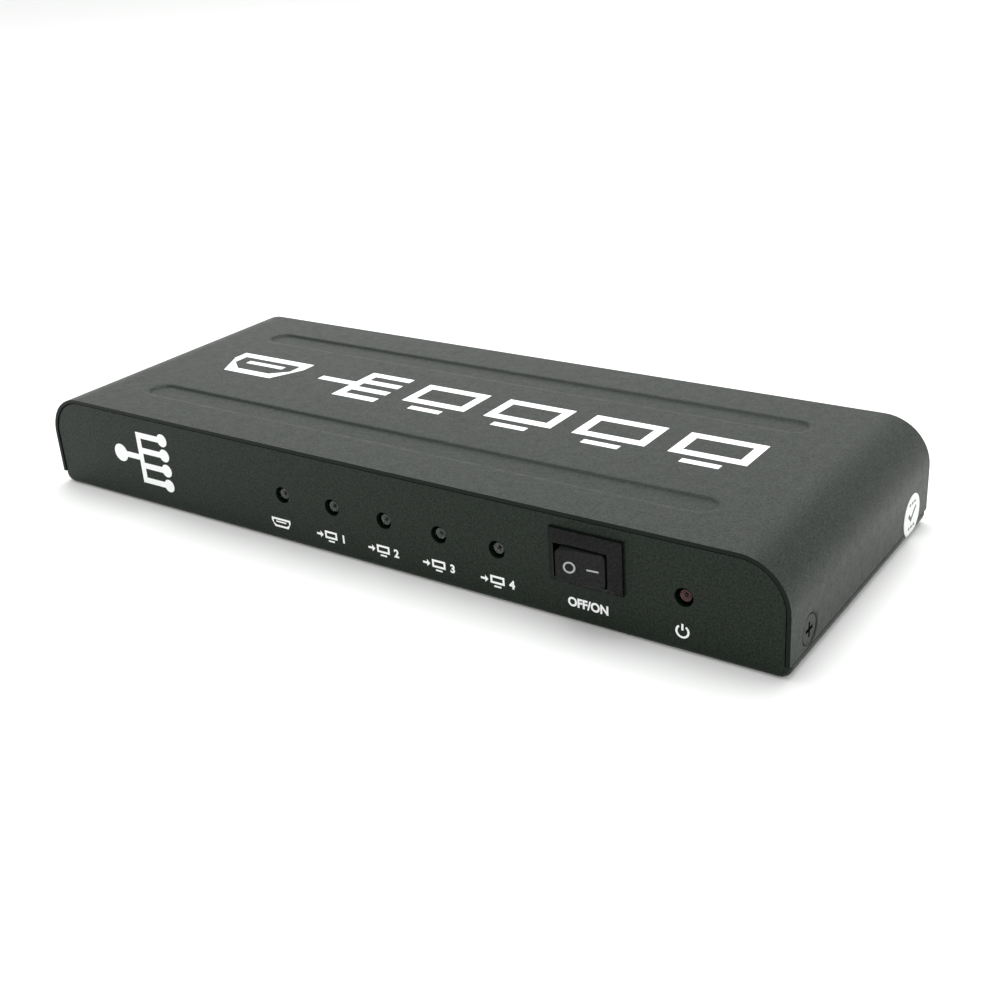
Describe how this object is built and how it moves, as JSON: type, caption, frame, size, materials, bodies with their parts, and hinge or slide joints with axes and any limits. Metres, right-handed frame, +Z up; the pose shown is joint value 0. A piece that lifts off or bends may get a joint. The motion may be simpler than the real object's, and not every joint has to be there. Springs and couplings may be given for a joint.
{
  "type": "video splitter",
  "caption": "Flat black sheet-metal box that copies one digital video input to several outputs, with a front power switch, indicator lamps and a row of rear ports.",
  "frame": {"origin": "centre of the case's flat underside", "axes": "+X along the case towards the switch and the power lamp as seen from the front, +Y from the front panel to the rear panel, +Z up"},
  "size_m": [0.182, 0.0723, 0.0218],
  "materials": {
    "case_coat": "satin black fine-grained powder coat on sheet steel",
    "black_screw": "black oxide steel",
    "zinc_steel": "zinc plated",
    "board_laminate": "green solder mask on glass laminate",
    "black_nylon": "moulded, matt",
    "white_nylon": "moulded, smooth",
    "nickel_plate": "bright nickel plate on sheet",
    "switch_plastic": "moulded nylon, soft shine",
    "spring_steel": "plain bright wire",
    "contact_brass": "bright strip",
    "gilt_contacts": "thin gilt plate",
    "red_insulation": "soft sleeve over stranded wire",
    "black_insulation": "soft sleeve over stranded wire",
    "clear_lamp": "clear epoxy",
    "red_lamp": "red tinted epoxy",
    "chip_epoxy": "moulded, matt",
    "pad_silicone": "soft grey pad",
    "fin_aluminium": "extruded, plain",
    "ferrite": "pressed powder",
    "capacitor_can": "bright can on a black base"
  },
  "bodies": {
    "case": {"top_cover": "case_coat", "chassis_tray": "case_coat", "cover_screws": "black_screw", "board_standoffs": "zinc_steel", "board_screws": "zinc_steel", "circuit_board": "board_laminate", "power_jack_housing": "black_nylon", "power_jack_pin": "nickel_plate", "power_jack_leaf": "nickel_plate", "switch_body": "switch_plastic", "switch_common_terminal": "contact_brass", "switch_live_terminal": "contact_brass", "switch_common_lead": "red_insulation", "switch_live_lead": "black_insulation", "lamp_legs": "spring_steel", "splitter_chip": "chip_epoxy", "thermal_pad": "pad_silicone", "heat_sink": "fin_aluminium", "output_buffers": "chip_epoxy", "crystal": "nickel_plate", "voltage_regulator": "chip_epoxy", "power_inductor": "ferrite", "smoothing_capacitors": "capacitor_can", "input_port_shell": "nickel_plate", "input_port_core": "black_nylon", "input_port_contacts": "gilt_contacts", "output_1_port_shell": "nickel_plate", "output_1_port_core": "black_nylon", "output_1_port_contacts": "gilt_contacts", "output_2_port_shell": "nickel_plate", "output_2_port_core": "black_nylon", "output_2_port_contacts": "gilt_contacts", "output_3_port_shell": "nickel_plate", "output_3_port_core": "black_nylon", "output_3_port_contacts": "gilt_contacts", "output_4_port_shell": "nickel_plate", "output_4_port_core": "black_nylon", "output_4_port_contacts": "gilt_contacts", "input_lamp": "clear_lamp", "output_1_lamp": "clear_lamp", "output_2_lamp": "clear_lamp", "output_3_lamp": "clear_lamp", "output_4_lamp": "clear_lamp", "power_lamp": "red_lamp"},
    "rocker": {"switch_rocker": "switch_plastic", "switch_plunger": "white_nylon", "switch_spring": "spring_steel"},
    "contact_lever": {"switch_contact_lever": "contact_brass"}
  },
  "joints": [
    {"name": "rocker_hinge", "type": "hinge", "parent": "case", "child": "rocker", "pos_m": [0.05255, -0.03295, 0.01335], "axis": [0, 0, 1], "range_deg": [-18, 0]},
    {"name": "contact_rock", "type": "hinge", "parent": "case", "child": "contact_lever", "pos_m": [0.05255, -0.0278, 0.01335], "axis": [0, 0, 1], "range_deg": [0, 14]}
  ],
  "couplings": [
    {"joint": "contact_rock", "follows": "rocker_hinge", "ratio": -0.77778}
  ]
}
